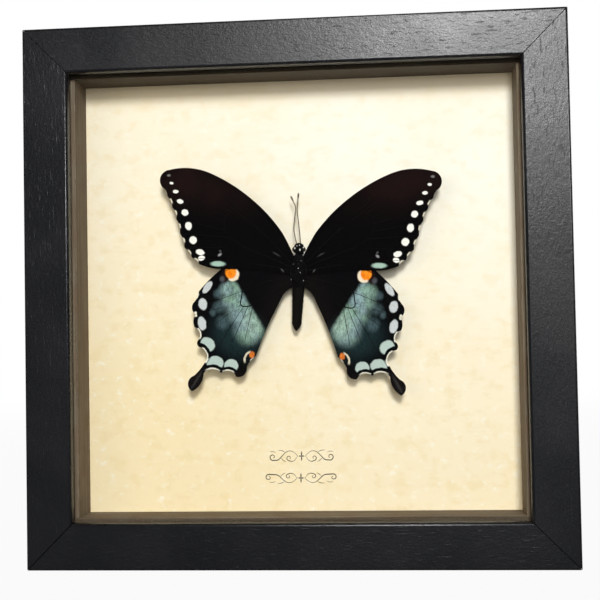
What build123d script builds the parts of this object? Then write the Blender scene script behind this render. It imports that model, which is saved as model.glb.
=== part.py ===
from build123d import *
from math import cos, pi, radians, sin, sqrt
import os

# Glazed shadow-box case with one mounted swallowtail butterfly.
#
# The case stands on its bottom rail. X runs across the case to the right as seen from the
# front, Y from the front face to the back, and Z up. The origin is the centre of the bottom
# rail's lower face. Lengths are in millimetres and angles in degrees.

# ---------------------------------------------------------------- frame moulding
frame_width = 165.0
frame_height = 165.0
rail_depth = 31.75
rail_wall = 9.0  # outer face to the rabbet
lip_width = 14.0  # outer face to the sight edge
lip_thickness = 3.2
rail_edge_radius = 0.8
mitre_gap = 0.1

# ---------------------------------------------------------------- sheets behind the lip
sheet_clearance = 0.5  # between a sheet's edge and the rabbet, all round
glass_thickness = 2.0
spacer_depth = 12.7
spacer_width = 5.5
card_thickness = 0.4
back_board_thickness = 3.2
back_board_recess = 0.25  # below the rails' back faces; the foam fills what is left

# ---------------------------------------------------------------- steel in the mitres
v_nail_leg = 4.2
v_nail_thickness = 0.6
v_nail_depth = 8.0
v_nail_opening = 100.0  # angle between the two legs
v_nail_recess = 0.3  # below the back face
press_clearance = 0.02  # round what is driven into wood, foam or card
cut_overrun = 1.0  # a cutting solid beyond the face it leaves by

# ---------------------------------------------------------------- turn buttons
button_reach = 16.0  # pivot to the middle of the tip
button_pivot_radius = 4.2
button_tip_radius = 3.0
button_thickness = 1.0
button_lift = 0.1  # clear of the rail's back
button_row_inset = 41.0  # from the case's top and bottom to a button's pivot
pivot_clearance = 0.3  # radial, button on screw
screw_shank_radius = 1.45
screw_length = 12.0  # under the head
screw_head_radius = 3.2
screw_head_height = 1.9
screw_head_bevel = 0.9
screw_head_lift = 0.1  # clear of the button

# ---------------------------------------------------------------- hanger and bumpers
hanger_length = 44.0
hanger_height = 8.0
hanger_thickness = 0.9
hanger_foot_length = 7.0  # flat end on the rail
hanger_ramp_length = 2.5
hanger_stand_off = 1.6  # raised middle, clear of the rail's back
hanger_tooth_count = 9
hanger_tooth_pitch = 2.4
hanger_tooth_depth = 1.4
hanger_corner_radius = 1.5
hanger_nail_radius = 0.6
hanger_nail_length = 9.0
hanger_nail_head_radius = 1.6
hanger_nail_head_thickness = 0.7
bumper_radius = 4.0
bumper_top_radius = 3.2
bumper_height = 3.4
bumper_rise = 15.0  # its centre above the case's lower face

# ---------------------------------------------------------------- the specimen's place
specimen_across = 0.25  # body axis from the case's centre line
specimen_above_centre = 4.5  # wing-root level from the case's mid height
specimen_lean = 2.0  # head leans to the right
body_height = 4.5  # body axis in front of the card

# ---------------------------------------------------------------- body
thorax_length = 10.2
thorax_tail_z = -2.6  # where the abdomen joins
thorax_end_radius = 1.9
thorax_swell = 1.25  # beyond a straight taper, at mid length
thorax_bands = 7
neck_radius = 1.3
head_length = 3.4
head_swell = 0.85
head_bands = 6
head_crown_share = 0.97  # of a full dome, so that the crown ends in a small flat
body_sides = 16
abdomen_radii = (0.3, 0.95, 1.34, 1.42, 1.46, 1.54, 1.66, 1.8, 1.9)  # from its tip to the thorax
abdomen_ring_length = 1.68
antenna_radius = 0.16
antenna_sides = 8
antenna_club_length = 2.2
# Share of the club's length beyond the stalk's end, and the radius there.
antenna_club_levels = ((-0.8, 0.13), (-0.3, 0.29), (0.0, 0.27), (0.2, 0.12))
antenna_rise = 3.0  # forward tilt
antenna_base_clearance = 0.02
left_antenna_run = ((-0.6, 10.2), (-1.75, 15.4), (-1.15, 22.4), (-2.6, 25.4))
right_antenna_run = ((0.5, 10.2), (0.15, 14.5), (-0.75, 21.5), (-0.4, 26.3))
antenna_bend_radii = (8.0, 2.6)
pin_radius = 0.25
pin_foam_share = 0.8  # of the foam's thickness
pin_in_thorax = 1.8
pin_above_root = 3.0  # along the body, towards the head

# ---------------------------------------------------------------- wings
wing_thickness = 0.3
wing_layer_gap = 0.2  # forewing over hindwing
wing_root_clearance = 0.05
wing_root_height = 5.7  # forewing's upper face above the card, at the body axis
wing_lift = 2.4  # tips rise towards the glass

# Outlines are for one wing, X outwards from the body axis and Z towards the head.
forewing_costa = (
    (1.2, 6.6),
    (2.6, 9.6),
    (5.1, 14.2),
    (9.0, 19.1),
    (14.0, 23.9),
    (20.5, 28.7),
    (28.0, 32.6),
    (34.5, 34.1),
    (40.6, 33.5),
    (43.5, 31.2),
    (42.8, 28.0),
)
forewing_vein_ends = (
    (42.8, 28.0),
    (41.2, 25.2),
    (39.6, 21.8),
    (38.2, 18.1),
    (37.0, 13.6),
    (35.5, 9.2),
    (33.1, 6.0),
    (30.8, 4.2),
)
forewing_scallop = 0.45
forewing_tip_radius = 0.6
forewing_trailing = ((30.8, 4.2), (27.3, 3.1), (23.5, 2.8), (12.0, 2.4), (1.2, 0.6))

hindwing_costa = ((1.2, 3.0), (11.0, 6.4), (22.0, 4.4), (26.5, 0.5), (30.8, -4.2))
hindwing_lobes = (
    (30.8, -4.2),
    (31.2, -5.9),
    (32.4, -7.8),
    (32.8, -9.8),
    (31.6, -11.4),
    (32.3, -13.3),
    (31.9, -15.4),
    (30.1, -17.6),
    (30.8, -19.5),
    (31.0, -20.6),
    (30.5, -21.4),
)
hindwing_tail = (
    (30.5, -21.4),
    (28.5, -22.6),
    (27.8, -24.8),
    (29.2, -27.4),
    (31.8, -30.4),
    (33.6, -33.2),
    (32.3, -35.2),
    (29.8, -33.0),
    (28.8, -29.6),
)
hindwing_scallop_ends = ((28.8, -29.6), (23.3, -29.5), (18.7, -30.5))
hindwing_scallop = 1.3
hindwing_tip_radius = 0.5
hindwing_anal_lobe = ((18.7, -30.5), (16.4, -30.0), (15.5, -27.3), (14.6, -25.8), (12.7, -23.9))
hindwing_inner = ((12.7, -23.9), (9.9, -16.3), (5.6, -7.0), (4.2, -4.4), (1.2, -2.2))

# ---------------------------------------------------------------- levels worked out
face_y = -rail_depth / 2
rabbet_y = face_y + lip_thickness
back_y = face_y + rail_depth
rabbet_width = frame_width - 2 * rail_wall
rabbet_height = frame_height - 2 * rail_wall
sheet_width = rabbet_width - 2 * sheet_clearance
sheet_height = rabbet_height - 2 * sheet_clearance
middle_z = frame_height / 2
spacer_y = rabbet_y + glass_thickness
card_y = spacer_y + spacer_depth
foam_y = card_y + card_thickness
back_board_y = back_y - back_board_recess - back_board_thickness
foam_thickness = back_board_y - foam_y
head_z = thorax_tail_z + thorax_length
rail_middle = rail_wall / 2


def place_specimen(shape):
    """Body frame (X across, -Y out of the card, Z to the head) into the case."""
    spot = Pos(specimen_across, card_y, middle_z + specimen_above_centre)
    return spot * Rot(0, specimen_lean, 0) * shape


# ---------------------------------------------------------------- frame


def rail(length):
    """One mitred moulding along X, its outer face at Z 0 and the opening above it."""
    section = Polyline(
        (face_y, 0),
        (back_y, 0),
        (back_y, rail_wall),
        (rabbet_y, rail_wall),
        (rabbet_y, lip_width),
        (face_y, lip_width),
        close=True,
    )
    profile = make_face(section)
    outside = profile.vertices().group_by(Axis.Y)[0]
    sight = profile.vertices().group_by(Axis.X)[0].sort_by(Axis.Y)[-1]
    profile = fillet([*outside, sight], rail_edge_radius)
    bar = extrude(Plane.YZ * profile, length / 2, both=True)
    step = mitre_gap / sqrt(2)
    half = length / 2 - step
    inner_half = half - lip_width
    mitred = Polyline(
        (-half, 0), (half, 0), (inner_half, lip_width), (-inner_half, lip_width), close=True
    )
    return bar & extrude(Plane.XZ * make_face(mitred), rail_depth, both=True)


def v_nail(slack):
    """V-shaped nail at a corner of the frame at the origin, legs opening to the corner."""
    reach = v_nail_leg + slack
    along, aside = cos(radians(v_nail_opening / 2)), sin(radians(v_nail_opening / 2))
    skin = v_nail_thickness / 2 + slack
    outer_end = (-reach * along + skin * aside, reach * aside + skin * along)
    inner_end = (-reach * along - skin * aside, reach * aside - skin * along)
    upper = [(skin / aside, 0), outer_end, inner_end, (-skin / aside, 0)]
    lower = [(x, -z) for x, z in reversed(upper[1:-1])]
    shift = v_nail_leg * along / 2
    outline = Pos(shift, 0) * make_face(Polyline(*upper, *lower, close=True))
    depth = v_nail_depth + (slack + v_nail_recess + cut_overrun if slack else 0)
    front = back_y - v_nail_recess - v_nail_depth - slack
    return Pos(0, front, 0) * extrude(Plane.XZ * outline, -depth)


def corner_places():
    """Where the middle of each mitre lies, with the turn that points -X at the corner."""
    across = frame_width / 2 - rail_middle
    low, high = rail_middle, frame_height - rail_middle
    return [
        Pos(-across, 0, low) * Rot(0, -45, 0),
        Pos(across, 0, low) * Rot(0, -135, 0),
        Pos(across, 0, high) * Rot(0, 135, 0),
        Pos(-across, 0, high) * Rot(0, 45, 0),
    ]


def v_nails(slack=0.0):
    return [place * v_nail(slack) for place in corner_places()]


# ---------------------------------------------------------------- sheets and spacers


def sheet(front_y, thickness):
    """Flat sheet that fills the rabbet, less its clearance."""
    spot = Pos(0, front_y + thickness / 2, middle_z)
    return spot * Box(sheet_width, thickness, sheet_height)


def spacers():
    """Long strips at top and bottom, shorter ones between them at the sides."""
    y = spacer_y + spacer_depth / 2
    side_length = sheet_height - 2 * spacer_width
    across = (sheet_width - spacer_width) / 2
    up = (sheet_height - spacer_width) / 2
    long_strip = Box(sheet_width, spacer_depth, spacer_width)
    short_strip = Box(spacer_width, spacer_depth, side_length)
    return {
        "spacer_top": Pos(0, y, middle_z + up) * long_strip,
        "spacer_bottom": Pos(0, y, middle_z - up) * long_strip,
        "spacer_left": Pos(-across, y, middle_z) * short_strip,
        "spacer_right": Pos(across, y, middle_z) * short_strip,
    }


# ---------------------------------------------------------------- turn buttons


def button_places():
    """Pivot and turn of each button; at rest its tip points inwards over the back board."""
    across = frame_width / 2 - rail_middle
    low, high = button_row_inset, frame_height - button_row_inset
    return {
        "turn_button_lower_left": Pos(-across, back_y, low),
        "turn_button_upper_left": Pos(-across, back_y, high),
        "turn_button_lower_right": Pos(across, back_y, low) * Rot(0, 180, 0),
        "turn_button_upper_right": Pos(across, back_y, high) * Rot(0, 180, 0),
    }


def turn_button():
    """Drop-shaped plate with its pivot at the origin and its tip along +X."""
    pivot_end = Circle(button_pivot_radius)
    tip = Pos(button_reach, 0) * Circle(button_tip_radius)
    plate = make_hull(pivot_end.edges() + tip.edges())
    plate -= Circle(screw_shank_radius + pivot_clearance)
    return Pos(0, button_lift, 0) * extrude(Plane.XZ * plate, -button_thickness)


def button_screw():
    """Pan-head screw; Y 0 is the rail's back face and its head is at +Y."""
    head_y = button_lift + button_thickness + screw_head_lift
    top_y = head_y + screw_head_height
    tip_y = head_y - screw_length
    outline = Polyline(
        (0, top_y),
        (0, tip_y),
        (screw_shank_radius, tip_y),
        (screw_shank_radius, head_y),
        (screw_head_radius, head_y),
        (screw_head_radius, top_y - screw_head_bevel),
        (screw_head_radius - screw_head_bevel, top_y),
        close=True,
    )
    return revolve(make_face(outline), Axis.Y, 360)


def screw_hole():
    """Pilot hole for a button screw, drilled from the rail's back face at Y 0."""
    depth = screw_length - button_lift - button_thickness - screw_head_lift + press_clearance
    return pilot_hole(screw_shank_radius, depth)


def pilot_hole(radius, depth):
    """Round hole for what is driven in at Y 0, open towards +Y."""
    drill = Cylinder(radius + press_clearance, depth + cut_overrun)
    return Pos(0, (cut_overrun - depth) / 2, 0) * Rot(90, 0, 0) * drill


# ---------------------------------------------------------------- hanger and bumpers


def hanger_nail_places():
    """Centre of each nail on the back face of the top rail."""
    across = (hanger_length - hanger_foot_length) / 2
    return [Pos(side * across, back_y, frame_height - rail_middle) for side in (-1, 1)]


def sawtooth_hanger():
    """Steel strip with flat feet, a raised middle and teeth along its lower edge."""
    half = hanger_length / 2
    foot = half - hanger_foot_length
    ramp = foot - hanger_ramp_length
    right_side = [(ramp, hanger_stand_off), (foot, 0), (half, 0)]
    inner = [(-x, y) for x, y in reversed(right_side)] + right_side
    outer = [(x, y + hanger_thickness) for x, y in reversed(inner)]
    side_view = make_face(Polyline(*inner, *outer, close=True))
    strip = extrude(side_view, hanger_height / 2, both=True)
    upright = strip.edges().filter_by(Axis.Y).group_by(Axis.X)
    strip = fillet(upright[0] + upright[-1], hanger_corner_radius)
    first = -(hanger_tooth_count - 1) / 2 * hanger_tooth_pitch
    edge = -hanger_height / 2
    for index in range(hanger_tooth_count):
        x = first + index * hanger_tooth_pitch
        left, right = x - hanger_tooth_pitch / 2, x + hanger_tooth_pitch / 2
        notch = Polyline(
            (left, edge - cut_overrun),
            (left, edge),
            (x, edge + hanger_tooth_depth),
            (right, edge),
            (right, edge - cut_overrun),
            close=True,
        )
        strip -= extrude(Plane.XZ * make_face(notch), 2 * hanger_height, both=True)
    strip = Pos(0, back_y, frame_height - rail_middle) * strip
    for place in hanger_nail_places():
        strip -= place * hanger_nail_hole()
    return strip


def hanger_nail():
    """Flat-headed nail; Y 0 is the rail's back face and its head is outside the strip."""
    seat = hanger_thickness
    head_top = seat + hanger_nail_head_thickness
    tip = seat - hanger_nail_length
    outline = Polyline(
        (0, head_top),
        (0, tip),
        (hanger_nail_radius, tip),
        (hanger_nail_radius, seat),
        (hanger_nail_head_radius, seat),
        (hanger_nail_head_radius, head_top),
        close=True,
    )
    return revolve(make_face(outline), Axis.Y, 360)


def hanger_nail_hole():
    """Hole for one nail, through the strip and into the rail."""
    return pilot_hole(hanger_nail_radius, hanger_nail_length - hanger_thickness + press_clearance)


def bumper():
    """Tapered rubber foot stuck to the back face."""
    taper = Cone(bumper_radius, bumper_top_radius, bumper_height)
    return Pos(0, bumper_height / 2, 0) * Rot(-90, 0, 0) * taper


def wall_bumpers():
    across = frame_width / 2 - rail_middle
    return [Pos(side * across, back_y, bumper_rise) * bumper() for side in (-1, 1)]


# ---------------------------------------------------------------- specimen: body


def on_body_axis(shape):
    return Pos(0, -body_height, 0) * shape


def barrel(radii, start_z, length):
    """Many-sided barrel on the body axis, its radii evenly spaced along the length."""
    step = length / (len(radii) - 1)
    rings = [
        Pos(0, 0, start_z + index * step) * RegularPolygon(radius, body_sides)
        for index, radius in enumerate(radii)
    ]
    return on_body_axis(loft(rings, ruled=True))


def thorax(slack=0.0):
    """Barrel of the body, swelling between the abdomen and the neck."""
    radii = []
    for band in range(thorax_bands + 1):
        share = band / thorax_bands
        straight = thorax_end_radius + (neck_radius - thorax_end_radius) * share
        radii.append(straight + thorax_swell * sin(pi * share) + slack)
    return barrel(radii, thorax_tail_z, thorax_length)


def head(slack=0.0):
    """Blunt head that sits on the neck."""
    radii = []
    for band in range(head_bands + 1):
        share = head_crown_share * band / head_bands
        radii.append(neck_radius * sqrt(1 - share**2) + head_swell * sin(pi * share) + slack)
    return barrel(radii, head_z, head_length + slack)


def abdomen():
    """Tapered abdomen, one band for each ring."""
    length = abdomen_ring_length * (len(abdomen_radii) - 1)
    return barrel(abdomen_radii, thorax_tail_z - length, length)


def antenna(run):
    """Hair-thin feeler from the head, with its club at the far end."""
    path = Plane.XZ * FilletPolyline(*run, radius=list(antenna_bend_radii))
    start = Plane(origin=path @ 0, z_dir=path % 0)
    stalk = sweep(start * RegularPolygon(antenna_radius, antenna_sides), path)
    tip = Plane(origin=path @ 1, z_dir=path % 1)
    club_sections = [
        tip.offset(level * antenna_club_length) * RegularPolygon(radius, antenna_sides)
        for level, radius in antenna_club_levels
    ]
    club = loft(club_sections, ruled=True)
    raised = Pos(0, 0, head_z) * Rot(antenna_rise, 0, 0) * Pos(0, 0, -head_z) * (stalk + club)
    return on_body_axis(raised) - head(antenna_base_clearance)


def specimen_pin(slack=0.0):
    """Steel pin from the foam, through the card, into the underside of the thorax."""
    radius = pin_radius + slack
    thorax_face = -(body_height - thorax_end_radius - thorax_swell)
    front = thorax_face - pin_in_thorax - slack
    rear = card_thickness + pin_foam_share * foam_thickness + slack
    rod = Cylinder(radius, rear - front)
    return Pos(0, (front + rear) / 2, pin_above_root) * Rot(90, 0, 0) * rod


# ---------------------------------------------------------------- specimen: wings


def cut_wing(face, drop):
    """Thin wing of the given flat shape, lifted to its tip and fitted to the thorax."""
    flat = extrude(Plane.XZ * face, -wing_thickness)
    lifted = Pos(0, drop - wing_root_height, 0) * Rot(0, 0, -wing_lift) * flat
    return lifted - thorax(wing_root_clearance)


def scallops(ends, depth):
    """Arcs that bow inwards between neighbouring vein ends."""
    return [SagittaArc(start, end, -depth) for start, end in zip(ends, ends[1:])]


def arc_chain(points):
    """Arcs end to end, each through three of the points."""
    return [ThreePointArc(*points[first : first + 3]) for first in range(0, len(points) - 2, 2)]


def soften(face, points, radius):
    """Round the face's corners at the given points."""
    corners = [face.vertices().sort_by_distance(Vector(*point))[0] for point in points]
    return fillet(corners, radius)


def forewing():
    edges = arc_chain(forewing_costa) + scallops(forewing_vein_ends, forewing_scallop)
    edges += arc_chain(forewing_trailing) + [Line(forewing_trailing[-1], forewing_costa[0])]
    face = soften(make_face(edges), forewing_vein_ends[1:-1], forewing_tip_radius)
    return cut_wing(face, 0.0)


def hindwing():
    edges = arc_chain(hindwing_costa) + arc_chain(hindwing_lobes) + arc_chain(hindwing_tail)
    edges += scallops(hindwing_scallop_ends, hindwing_scallop)
    edges += arc_chain(hindwing_anal_lobe) + arc_chain(hindwing_inner)
    edges += [Line(hindwing_inner[-1], hindwing_costa[0])]
    face = soften(make_face(edges), hindwing_scallop_ends[1:], hindwing_tip_radius)
    return cut_wing(face, wing_thickness + wing_layer_gap)


# ---------------------------------------------------------------- the whole case


def build_parts():
    parts = {}

    across = frame_width / 2
    rails = {
        "frame_rail_bottom": rail(frame_width),
        "frame_rail_top": Pos(0, 0, frame_height) * Rot(0, 180, 0) * rail(frame_width),
        "frame_rail_left": Pos(-across, 0, middle_z) * Rot(0, 90, 0) * rail(frame_height),
        "frame_rail_right": Pos(across, 0, middle_z) * Rot(0, -90, 0) * rail(frame_height),
    }
    driven = v_nails(press_clearance)
    driven += [place * screw_hole() for place in button_places().values()]
    driven += [place * hanger_nail_hole() for place in hanger_nail_places()]
    for name, solid in rails.items():
        for fastener in driven:
            solid -= fastener
        parts[name] = solid
    parts["v_nails"] = v_nails()

    parts["glass_pane"] = sheet(rabbet_y, glass_thickness)
    parts.update(spacers())
    pin_hole = place_specimen(specimen_pin(press_clearance))
    parts["parchment_card"] = sheet(card_y, card_thickness) - pin_hole
    parts["foam_board"] = sheet(foam_y, foam_thickness) - pin_hole
    parts["back_board"] = sheet(back_board_y, back_board_thickness)

    for name, place in button_places().items():
        parts[name] = place * turn_button()
    parts["turn_button_screws"] = [place * button_screw() for place in button_places().values()]

    parts["sawtooth_hanger"] = sawtooth_hanger()
    parts["hanger_nails"] = [place * hanger_nail() for place in hanger_nail_places()]
    parts["wall_bumpers"] = wall_bumpers()

    body_parts = {
        "butterfly_thorax": thorax(),
        "butterfly_head": head(),
        "butterfly_abdomen": abdomen(),
        "antenna_left": antenna(left_antenna_run),
        "antenna_right": antenna(right_antenna_run),
        "specimen_pin": specimen_pin(),
        "forewing_right": forewing(),
        "forewing_left": forewing().mirror(Plane.YZ),
        "hindwing_right": hindwing(),
        "hindwing_left": hindwing().mirror(Plane.YZ),
    }
    for name, shape in body_parts.items():
        pieces = shape if isinstance(shape, list) else [shape]
        parts[name] = [place_specimen(piece) for piece in pieces]
    return parts


def write_parts(parts):
    os.makedirs("parts", exist_ok=True)
    for name, shape in parts.items():
        solids = shape if isinstance(shape, list) else [shape]
        solids = [solid for piece in solids for solid in piece.solids()]
        whole = solids[0] if len(solids) == 1 else Compound(solids)
        whole.label = name
        export_step(whole, f"parts/{name}.step")


write_parts(build_parts())
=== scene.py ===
from math import cos, pi, radians, sin

import bmesh
import bpy
from mathutils import Matrix, Vector, noise
from random import Random


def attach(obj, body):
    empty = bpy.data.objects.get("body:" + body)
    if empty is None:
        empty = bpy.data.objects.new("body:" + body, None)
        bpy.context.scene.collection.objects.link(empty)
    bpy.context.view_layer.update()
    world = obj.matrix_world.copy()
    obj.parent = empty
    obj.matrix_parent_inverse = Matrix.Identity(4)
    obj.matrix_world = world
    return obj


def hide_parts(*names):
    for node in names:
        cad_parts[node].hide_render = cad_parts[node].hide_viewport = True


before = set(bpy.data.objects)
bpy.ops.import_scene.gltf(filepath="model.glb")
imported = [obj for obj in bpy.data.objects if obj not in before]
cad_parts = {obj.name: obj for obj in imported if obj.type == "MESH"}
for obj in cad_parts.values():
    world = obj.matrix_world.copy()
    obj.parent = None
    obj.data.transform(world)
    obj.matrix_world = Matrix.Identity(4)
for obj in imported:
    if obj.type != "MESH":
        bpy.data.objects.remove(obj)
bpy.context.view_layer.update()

MM = 0.001
HOUSING = "case"

# The case's levels and the specimen's place, in millimetres, as in the solids.
FACE_Y, BACK_Y = -15.875, 15.875
CASE_DEPTH = BACK_Y - FACE_Y
HALF_WIDTH, SIGHT = 82.5, 68.5
MIDDLE_Z = 82.5
CARD_Y = 2.025
SIDES = ("top", "bottom", "left", "right")
BUTTON_ACROSS, BUTTON_HEIGHTS = 78, (41, 124)
BUTTON_TOP = 1.2
BUMPER_ACROSS, BUMPER_HEIGHT = 78, 15
SPECIMEN_SPOT = Vector((0.25, CARD_Y, 87.0))
SPECIMEN_LEAN = radians(2.0)
BODY_HEIGHT = 4.5
WING_LIFT = radians(2.4)
WING_ROOT_HEIGHT = 5.7
HINDWING_DROP = 0.5
CAD_WING_THICKNESS = 0.3
WING_THICKNESS = 0.16
EDGE_SOFTNESS = 0.12  # of a mask that follows the wing's edge
# A face at least this wide is a flat of its piece; edges that turn by more degrees than the
# first number stay crisp in the shading, and by more than the second are rounded off.
FLAT_WIDTH = 1.2
SMOOTH_UP_TO, SHARP_FROM = 32, 25


def paint(red, green, blue):
    """A colour given as it looks on screen, from 0 to 255, made linear."""
    def linear(level):
        share = level / 255
        return share / 12.92 if share <= 0.04045 else ((share + 0.055) / 1.055) ** 2.4

    return (linear(red), linear(green), linear(blue), 1.0)


# ---------- shader maths


class Wire:
    """A node's output that takes part in plain maths."""

    def __init__(self, finish, socket):
        self.finish = finish
        self.socket = socket

    def output(self, index):
        return Wire(self.finish, self.socket.node.outputs[index])

    def maths(self, operation, first, second=0.0):
        return self.finish.node("Math", {"operation": operation}, {0: first, 1: second})

    def __add__(self, other):
        return self.maths("ADD", self, other)

    def __sub__(self, other):
        return self.maths("SUBTRACT", self, other)

    def __rsub__(self, other):
        return self.maths("SUBTRACT", other, self)

    def __mul__(self, other):
        return self.maths("MULTIPLY", self, other)

    def __abs__(self):
        return self.maths("ABSOLUTE", self)

    def __or__(self, other):
        """Where either mask is."""
        return self.maths("MAXIMUM", self, other)

    def __and__(self, other):
        """Where both masks are."""
        return self.maths("MINIMUM", self, other)

    def ramp(self, low, high, start=0.0, end=1.0):
        """Goes smoothly from start to end while the value goes from low to high."""
        settings = {"interpolation_type": "SMOOTHSTEP"}
        inputs = {"Value": self, "From Min": low, "From Max": high, "To Min": start, "To Max": end}
        return self.finish.node("MapRange", settings, inputs)


class Finish:
    """A material or a world built of nodes, all added by one method."""

    def __init__(self, name, world=None):
        self.owner = world or bpy.data.materials.new(name)
        self.owner.use_nodes = True
        self.tree = self.owner.node_tree
        self.tree.nodes.clear()

    def node(self, kind, settings, inputs, output=0):
        made = self.tree.nodes.new("ShaderNode" + kind)
        for key, value in settings.items():
            setattr(made, key, value)
        for key, value in inputs.items():
            if isinstance(value, Wire):
                self.tree.links.new(value.socket, made.inputs[key])
            else:
                made.inputs[key].default_value = value
        return Wire(self, made.outputs[output])

    def place(self, scale=(1.0, 1.0, 1.0)):
        """Object coordinates in millimetres, then scaled."""
        point = self.node("TexCoord", {}, {}, "Object")
        return self.node("Mapping", {}, {"Vector": point, "Scale": [part / MM for part in scale]})

    def noise(self, place, scale, detail=3.0, roughness=0.55, distortion=0.0):
        inputs = {
            "Vector": place,
            "Scale": scale,
            "Detail": detail,
            "Roughness": roughness,
            "Distortion": distortion,
        }
        return self.node("TexNoise", {}, inputs)

    def specks(self, place, scale, radius, share):
        """Small round dots, one in some of the cells."""
        cells = self.node("TexVoronoi", {}, {"Vector": place, "Scale": scale})
        chance = self.node("SeparateColor", {}, {0: cells.output(1)})
        dots = cells.ramp(radius * scale, 0.6 * radius * scale)
        return dots & chance.ramp(1 - share, 1.001 - share)

    def colour(self, mask, base, over):
        return self.node("Mix", {"data_type": "RGBA"}, {0: mask, 6: base, 7: over}, 2)

    def layers(self, tone, *coats):
        """Lays colours over each other, each through its own mask."""
        for mask, over in coats:
            tone = self.colour(mask, tone, over)
        return tone

    def bump(self, height, depth):
        """Height of 0 to 1, made that many millimetres deep."""
        inputs = {"Height": height, "Distance": depth * MM, "Strength": 1.0}
        return self.node("Bump", {}, inputs)

    def end(self, shader, kind="OutputMaterial"):
        last = self.tree.nodes.new("ShaderNode" + kind)
        self.tree.links.new(shader.socket, last.inputs["Surface"])
        return self.owner

    def surface(self, colour, roughness, normal=None, **fixed):
        """Closes the material with one shader; fixed values go to its own sockets."""
        inputs = {"Base Color": colour, "Roughness": roughness}
        if normal is not None:
            inputs["Normal"] = normal
        for key, value in fixed.items():
            inputs[key.replace("_", " ").title().replace("Ior", "IOR")] = value
        return self.end(self.node("BsdfPrincipled", {}, inputs))


# ---------- case finishes


def drawn_out(share, along):
    """Scale of a pattern that is drawn out along the X or the Z axis."""
    return (share, 1.0, 1.0) if along == "X" else (1.0, 1.0, share)


def moulding_paint(name, along):
    """Satin black paint over fine grain that runs along the rail, rubbed at the edges and
    dusty; at the back the wood is bare, with a rim of overspray."""
    finish = Finish(name)
    place = finish.place()
    grain_place = finish.place(drawn_out(0.16, along))
    grain = finish.noise(grain_place, 1.9, 4.0, 0.6)
    pores = finish.noise(grain_place, 1.5, 2.0, 0.5).ramp(0.60, 0.72)
    pebble = finish.noise(finish.place(drawn_out(0.42, along)), 1.3, 3.0, 0.55)
    peel = finish.noise(place, 1.7, 3.0, 0.65)
    cloud = finish.noise(place, 0.045, 3.0, 0.5)
    dust = finish.specks(place, 0.07, 0.16, 0.45) | finish.specks(place, 0.21, 0.07, 0.35)

    across = finish.node("SeparateXYZ", {}, {0: place})
    outward = abs(across) | abs(across.output(2) - MIDDLE_Z)
    depth = across.output(1) - FACE_Y
    outer_edge = (HALF_WIDTH - outward) | depth
    sight_edge = abs(outward - SIGHT) | depth
    rub_noise = finish.noise(place, 0.55, 4.0, 0.7)
    rub = (outer_edge.ramp(0.75, 0.25) | sight_edge.ramp(0.6, 0.15)) * rub_noise.ramp(0.50, 0.68)

    black = finish.colour(cloud.ramp(0.3, 0.7), paint(9, 11, 15), paint(15, 16, 20))
    black = finish.layers(
        black,
        (peel.ramp(0.35, 0.75) * 0.3, paint(22, 22, 26)),
        (rub * 0.3, paint(84, 78, 72)),
        (dust * 0.55, paint(170, 165, 158)),
    )

    bare = finish.colour(grain.ramp(0.3, 0.7), paint(176, 142, 98), paint(206, 174, 128))
    bare = finish.colour(pores * 0.5, bare, paint(132, 98, 62))
    overspray = finish.noise(place, 0.35, 4.0, 0.6) * 2.4 + 0.1
    back = depth.ramp(CASE_DEPTH - 0.13, CASE_DEPTH - 0.05)
    back = back * (HALF_WIDTH - outward - overspray).ramp(-0.15, 0.25)
    tone = finish.colour(back, black, bare)

    shine = peel.ramp(0.3, 0.8, 0.29, 0.36) + cloud.ramp(0.3, 0.7, -0.02, 0.03)
    shine = shine + rub * 0.1 + dust * 0.3 + back * 0.3 + pores * 0.08
    relief = pebble * 1.3 + peel * 0.8 - pores * 0.35
    normal = finish.bump(relief, 0.04)
    return finish.surface(tone, shine, normal, specular_ior_level=0.5)


def clear_glass(name):
    finish = Finish(name)
    place = finish.place()
    film = finish.noise(place, 0.05, 4.0, 0.6).ramp(0.45, 0.8, 0.0, 0.001)
    fresnel = finish.node("Fresnel", {}, {"IOR": 1.33})
    clear = finish.node("BsdfTransparent", {}, {"Color": (0.985, 0.99, 0.985, 1.0)})
    gloss = finish.node("BsdfAnisotropic", {}, {"Color": (1.0,) * 4, "Roughness": 0.02})
    share = fresnel * 0.15 + film
    return finish.end(finish.node("MixShader", {}, {0: share, 1: clear, 2: gloss}))


def taupe_card(name, along, painted_shade_level=1.0):
    """Matt card facing with fibres that run along the strip; a painted shade level below 1 darkens
    the whole strip towards near black, as painted shade for a strip that stands in shadow.
    """
    finish = Finish(name)
    fibre = finish.noise(finish.place(drawn_out(0.02, along)), 0.9, 4.0, 0.65)
    place = finish.place()
    cloud = finish.noise(place, 0.12, 3.0, 0.5)
    fleck = finish.noise(place, 2.6, 2.0, 0.5)
    tone = finish.colour(fibre.ramp(0.3, 0.7), paint(96, 85, 70), paint(128, 115, 98))
    tone = finish.layers(
        tone,
        (cloud.ramp(0.35, 0.7) * 0.5, paint(106, 84, 64)),
        (fleck.ramp(0.6, 0.75) * 0.3, paint(142, 130, 112)),
        # painted shade: the strip's colour is darkened towards near black where the level is below
        # 1
        (1.0 - painted_shade_level, paint(14, 14, 10)),
    )
    normal = finish.bump(fibre * 0.7 + fleck * 0.4, 0.05)
    return finish.surface(tone, fleck.ramp(0.2, 0.8, 0.7, 0.85), normal, specular_ior_level=0.3)


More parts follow.
